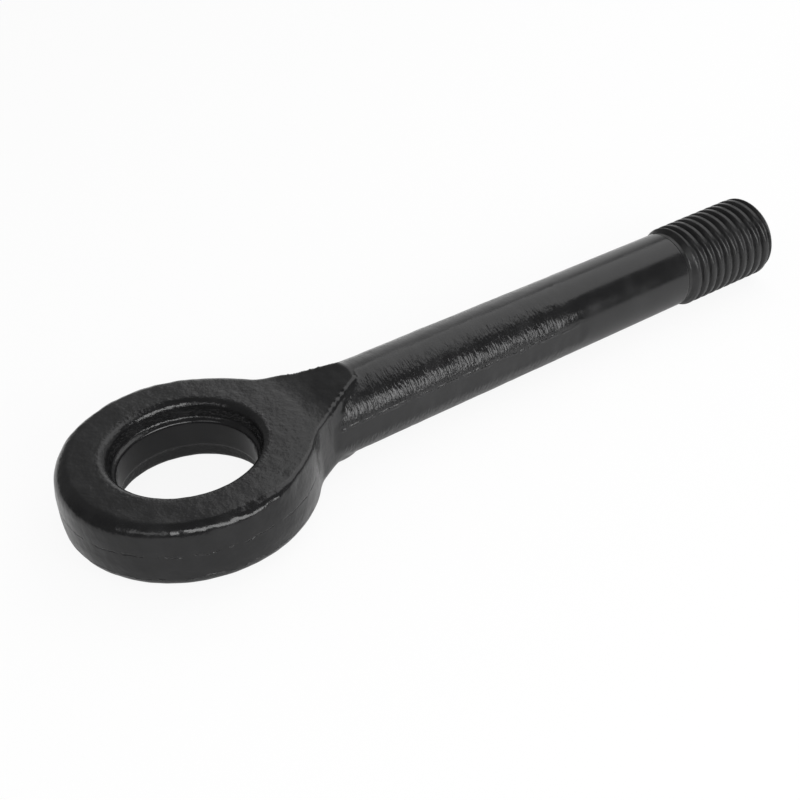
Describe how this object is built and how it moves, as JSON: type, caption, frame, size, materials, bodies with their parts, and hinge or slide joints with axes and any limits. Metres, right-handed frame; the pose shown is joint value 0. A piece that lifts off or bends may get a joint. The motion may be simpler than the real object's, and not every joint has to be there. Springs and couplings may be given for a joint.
{
  "type": "tow eye",
  "caption": "Forged steel tow eye: a thick ring on a round shank that ends in a coarse metric thread, painted black.",
  "frame": {"origin": "centre of the eye: on the axis of its hole, midway between the flat faces", "axes": "+Z along the axis of the eye, +X along the shank towards the thread, +Y across"},
  "size_m": [0.1855, 0.054, 0.02],
  "materials": {
    "painted_steel": "semi-gloss black paint over forged steel"
  },
  "bodies": {
    "root": {"tow_eye": "painted_steel"}
  },
  "joints": []
}
